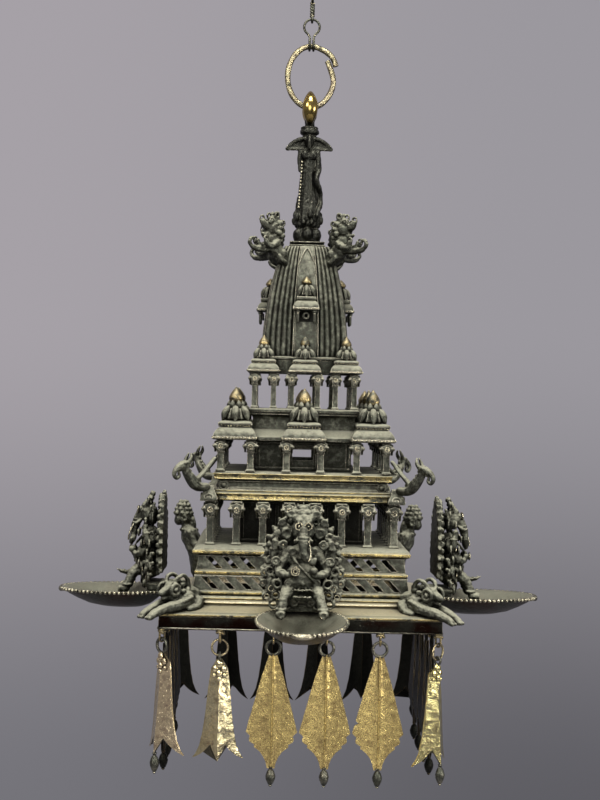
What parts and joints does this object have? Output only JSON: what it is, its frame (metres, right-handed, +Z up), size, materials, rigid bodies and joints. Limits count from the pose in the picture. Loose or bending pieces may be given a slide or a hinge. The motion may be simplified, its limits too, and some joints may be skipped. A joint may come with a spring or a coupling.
{
  "type": "hanging temple lamp",
  "caption": "Hanging metal temple lamp: a pillared shrine tower on a pierced base with leaf-shaped oil dishes, seated figures and leaf pendants.",
  "frame": {"origin": "middle of the top face of the ceiling hook's plate", "axes": "+Z up out of the plate's top face, front of the lamp towards -Y, +X to the right"},
  "size_m": [0.452, 0.452, 0.7537],
  "materials": {
    "dark_bronze": "dark patina with dust on upward faces and worn brass edges",
    "worn_brass": "worn brass with dark recesses",
    "bright_brass": "grainy bright brass",
    "leaf_brass": "hammered ochre brass with pits"
  },
  "bodies": {
    "ceiling": {"ceiling_hook": "worn_brass"},
    "upper_link": {"chain_link_upper": "worn_brass"},
    "lower_link": {"chain_link_lower": "worn_brass"},
    "ring": {"suspension_ring": "bright_brass"},
    "lamp": {"hanger_figure": "dark_bronze", "spire_tower": "dark_bronze", "upper_roof": "dark_bronze", "upper_gallery": "dark_bronze", "middle_roof": "dark_bronze", "middle_gallery": "worn_brass", "middle_cella": "dark_bronze", "cornice": "dark_bronze", "lower_gallery": "dark_bronze", "lower_cella": "dark_bronze", "plinth_tier_upper": "dark_bronze", "plinth_tier_lower": "dark_bronze", "base_tray": "dark_bronze", "oil_dish_front": "dark_bronze", "oil_dish_right": "dark_bronze", "oil_dish_rear": "dark_bronze", "oil_dish_left": "dark_bronze", "deity_front": "dark_bronze", "deity_right": "dark_bronze", "deity_rear": "dark_bronze", "deity_left": "dark_bronze", "spire_lion_front_right": "dark_bronze", "spire_lion_rear_right": "dark_bronze", "spire_lion_rear_left": "dark_bronze", "spire_lion_front_left": "dark_bronze", "makara_front_right": "dark_bronze", "makara_rear_right": "dark_bronze", "makara_rear_left": "dark_bronze", "makara_front_left": "dark_bronze", "base_lion_front_right": "dark_bronze", "base_lion_front_left": "dark_bronze", "attendant_rear_right": "dark_bronze", "attendant_rear_left": "dark_bronze"},
    "front_ring": {"wire_ring_front_1": "bright_brass"},
    "corner_ring": {"wire_ring_corner_1": "bright_brass"},
    "front_1": {"pendant_front_1": "leaf_brass"},
    "front_2": {"pendant_front_2": "leaf_brass"},
    "front_3": {"pendant_front_3": "leaf_brass"},
    "front_4": {"pendant_front_4": "leaf_brass"},
    "right_1": {"pendant_right_1": "leaf_brass"},
    "right_2": {"pendant_right_2": "leaf_brass"},
    "right_3": {"pendant_right_3": "leaf_brass"},
    "right_4": {"pendant_right_4": "leaf_brass"},
    "rear_1": {"pendant_rear_1": "leaf_brass"},
    "rear_2": {"pendant_rear_2": "leaf_brass"},
    "rear_3": {"pendant_rear_3": "leaf_brass"},
    "rear_4": {"pendant_rear_4": "leaf_brass"},
    "left_1": {"pendant_left_1": "leaf_brass"},
    "left_2": {"pendant_left_2": "leaf_brass"},
    "left_3": {"pendant_left_3": "leaf_brass"},
    "left_4": {"pendant_left_4": "leaf_brass"},
    "corner_1": {"pendant_corner_1": "leaf_brass"},
    "corner_2": {"pendant_corner_2": "leaf_brass"},
    "corner_3": {"pendant_corner_3": "leaf_brass"},
    "corner_4": {"pendant_corner_4": "leaf_brass"}
  },
  "joints": [
    {"name": "hook_swing", "type": "hinge", "parent": "ceiling", "child": "upper_link", "pos_m": [0, 0, -0.025], "axis": [1, 0, 0], "range_deg": [-25, 25]},
    {"name": "link_swing", "type": "hinge", "parent": "upper_link", "child": "lower_link", "pos_m": [0, 0, -0.0543], "axis": [0, 1, 0], "range_deg": [-25, 25]},
    {"name": "ring_swing", "type": "hinge", "parent": "lower_link", "child": "ring", "pos_m": [0, 0, -0.0812], "axis": [0, 1, 0], "range_deg": [-15, 15]},
    {"name": "lamp_swing", "type": "hinge", "parent": "ring", "child": "lamp", "pos_m": [0, 0, -0.136], "axis": [1, 0, 0], "range_deg": [-25, 25]},
    {"name": "front_ring_swing", "type": "hinge", "parent": "lamp", "child": "front_ring", "pos_m": [-0.0699, -0.1205, -0.6252], "axis": [-1, 0, 0], "range_deg": [-5, 20]},
    {"name": "front_1_swing", "type": "hinge", "parent": "front_ring", "child": "front_1", "pos_m": [-0.0699, -0.1205, -0.6392], "axis": [-1, 0, 0], "range_deg": [-5, 25]},
    {"name": "front_2_swing", "type": "hinge", "parent": "lamp", "child": "front_2", "pos_m": [-0.0233, -0.1205, -0.6252], "axis": [-1, 0, 0], "range_deg": [-10, 45]},
    {"name": "front_3_swing", "type": "hinge", "parent": "lamp", "child": "front_3", "pos_m": [0.0233, -0.1205, -0.6252], "axis": [-1, 0, 0], "range_deg": [-10, 45]},
    {"name": "front_4_swing", "type": "hinge", "parent": "lamp", "child": "front_4", "pos_m": [0.0699, -0.1205, -0.6252], "axis": [-1, 0, 0], "range_deg": [-10, 45]},
    {"name": "right_1_swing", "type": "hinge", "parent": "lamp", "child": "right_1", "pos_m": [0.1205, -0.0699, -0.6252], "axis": [0, -1, 0], "range_deg": [-10, 45]},
    {"name": "right_2_swing", "type": "hinge", "parent": "lamp", "child": "right_2", "pos_m": [0.1205, -0.0233, -0.6252], "axis": [0, -1, 0], "range_deg": [-10, 45]},
    {"name": "right_3_swing", "type": "hinge", "parent": "lamp", "child": "right_3", "pos_m": [0.1205, 0.0233, -0.6252], "axis": [0, -1, 0], "range_deg": [-10, 45]},
    {"name": "right_4_swing", "type": "hinge", "parent": "lamp", "child": "right_4", "pos_m": [0.1205, 0.0699, -0.6252], "axis": [0, -1, 0], "range_deg": [-10, 45]},
    {"name": "rear_1_swing", "type": "hinge", "parent": "lamp", "child": "rear_1", "pos_m": [0.0699, 0.1205, -0.6252], "axis": [1, 0, 0], "range_deg": [-10, 45]},
    {"name": "rear_2_swing", "type": "hinge", "parent": "lamp", "child": "rear_2", "pos_m": [0.0233, 0.1205, -0.6252], "axis": [1, 0, 0], "range_deg": [-10, 45]},
    {"name": "rear_3_swing", "type": "hinge", "parent": "lamp", "child": "rear_3", "pos_m": [-0.0233, 0.1205, -0.6252], "axis": [1, 0, 0], "range_deg": [-10, 45]},
    {"name": "rear_4_swing", "type": "hinge", "parent": "lamp", "child": "rear_4", "pos_m": [-0.0699, 0.1205, -0.6252], "axis": [1, 0, 0], "range_deg": [-10, 45]},
    {"name": "left_1_swing", "type": "hinge", "parent": "lamp", "child": "left_1", "pos_m": [-0.1205, 0.0699, -0.6252], "axis": [0, 1, 0], "range_deg": [-10, 45]},
    {"name": "left_2_swing", "type": "hinge", "parent": "lamp", "child": "left_2", "pos_m": [-0.1205, 0.0233, -0.6252], "axis": [0, 1, 0], "range_deg": [-10, 45]},
    {"name": "left_3_swing", "type": "hinge", "parent": "lamp", "child": "left_3", "pos_m": [-0.1205, -0.0233, -0.6252], "axis": [0, 1, 0], "range_deg": [-10, 45]},
    {"name": "left_4_swing", "type": "hinge", "parent": "lamp", "child": "left_4", "pos_m": [-0.1205, -0.0699, -0.6252], "axis": [0, 1, 0], "range_deg": [-10, 45]},
    {"name": "corner_ring_swing", "type": "hinge", "parent": "lamp", "child": "corner_ring", "pos_m": [0.1205, -0.1205, -0.6252], "axis": [-0.7071, -0.7071, 0], "range_deg": [-5, 20]},
    {"name": "corner_1_swing", "type": "hinge", "parent": "corner_ring", "child": "corner_1", "pos_m": [0.1205, -0.1205, -0.6392], "axis": [-0.7071, -0.7071, 0], "range_deg": [-5, 25]},
    {"name": "corner_2_swing", "type": "hinge", "parent": "lamp", "child": "corner_2", "pos_m": [0.1205, 0.1205, -0.6252], "axis": [0.7071, -0.7071, 0], "range_deg": [-10, 45]},
    {"name": "corner_3_swing", "type": "hinge", "parent": "lamp", "child": "corner_3", "pos_m": [-0.1205, 0.1205, -0.6252], "axis": [0.7071, 0.7071, 0], "range_deg": [-10, 45]},
    {"name": "corner_4_swing", "type": "hinge", "parent": "lamp", "child": "corner_4", "pos_m": [-0.1205, -0.1205, -0.6252], "axis": [-0.7071, 0.7071, 0], "range_deg": [-10, 45]}
  ]
}
